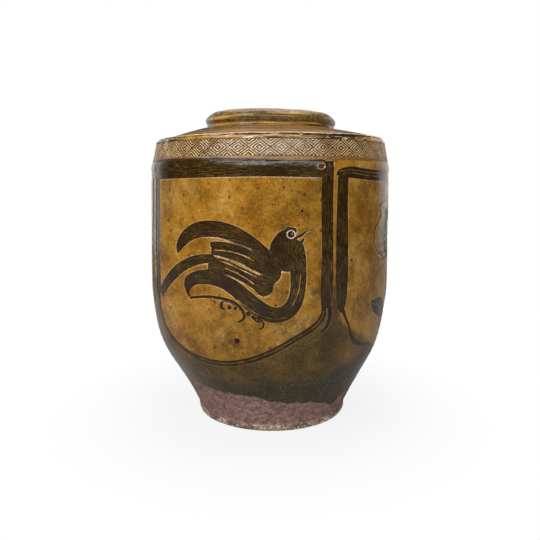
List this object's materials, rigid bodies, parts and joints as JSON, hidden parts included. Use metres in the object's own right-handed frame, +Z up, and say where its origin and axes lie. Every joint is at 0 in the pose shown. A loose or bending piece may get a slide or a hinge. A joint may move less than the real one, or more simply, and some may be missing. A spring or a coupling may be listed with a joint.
{
  "type": "storage jar",
  "caption": "Broad-shouldered glazed stoneware storage jar with a stamped lozenge band, painted bird panels, a low neck and a rolled rim.",
  "frame": {"origin": "centre of the base, on the surface the jar stands on", "axes": "+Z up along the jar's axis, -Y towards the jar's front"},
  "size_m": [0.335, 0.335, 0.42],
  "materials": {
    "bare_stoneware": "bare purple-brown stoneware, wiped clean of glaze",
    "dark_glaze": "thick dark olive-brown wood-ash glaze, glossy",
    "amber_glaze": "amber-brown glaze over cut and painted dark slip, glossy",
    "streaked_glaze": "amber and dark brown glaze streaked round the turning, glossy, worn at the edge"
  },
  "bodies": {
    "root": {"base_slab": "bare_stoneware", "lower_wall": "dark_glaze", "panel_wall": "amber_glaze", "band_ring": "amber_glaze", "shoulder_seam_coil": "streaked_glaze", "shoulder": "streaked_glaze", "neck_ring": "dark_glaze"}
  },
  "joints": []
}
